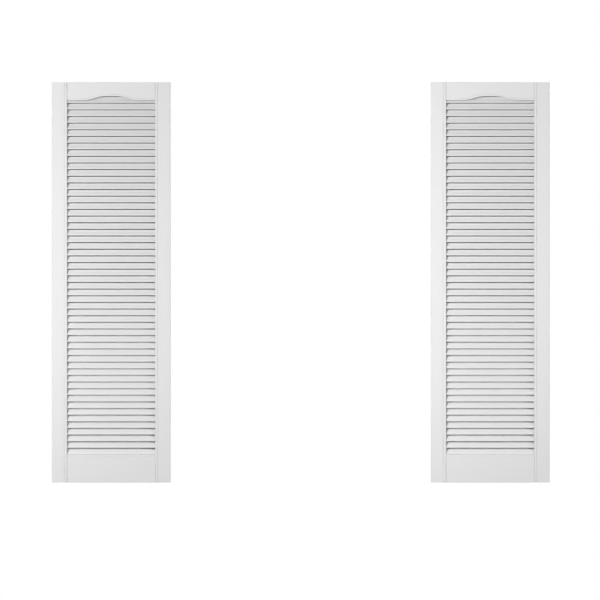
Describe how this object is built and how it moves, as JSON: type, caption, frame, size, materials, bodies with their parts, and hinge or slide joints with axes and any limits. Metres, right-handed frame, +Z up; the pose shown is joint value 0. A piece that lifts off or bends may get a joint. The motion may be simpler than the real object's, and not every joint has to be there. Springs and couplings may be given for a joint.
{
  "type": "louvred window shutters",
  "caption": "Pair of fixed louvred window shutters in white moulded vinyl, with shallow arched top rails and beaded stiles, hung either side of a window.",
  "frame": {"origin": "on the wall plane, midway between the two shutters, at half their height", "axes": "+X to the right seen from the front, +Y into the wall, +Z up; the shutters' faces look along -Y"},
  "size_m": [1.5466, 0.0286, 1.2446],
  "materials": {
    "stile_vinyl": "satin, faint upright wood grain",
    "rail_vinyl": "satin, faint level wood grain",
    "louvre_vinyl": "satin, faint level wood grain",
    "cap_vinyl": "satin, plain"
  },
  "bodies": {
    "root": {"left_outer_stile": "stile_vinyl", "left_inner_stile": "stile_vinyl", "left_top_rail": "rail_vinyl", "left_bottom_rail": "rail_vinyl", "left_louvre_panel": "louvre_vinyl", "left_outer_cap_top": "cap_vinyl", "left_outer_cap_bottom": "cap_vinyl", "left_inner_cap_top": "cap_vinyl", "left_inner_cap_bottom": "cap_vinyl", "right_outer_stile": "stile_vinyl", "right_inner_stile": "stile_vinyl", "right_top_rail": "rail_vinyl", "right_bottom_rail": "rail_vinyl", "right_louvre_panel": "louvre_vinyl", "right_outer_cap_top": "cap_vinyl", "right_outer_cap_bottom": "cap_vinyl", "right_inner_cap_top": "cap_vinyl", "right_inner_cap_bottom": "cap_vinyl"}
  },
  "joints": []
}
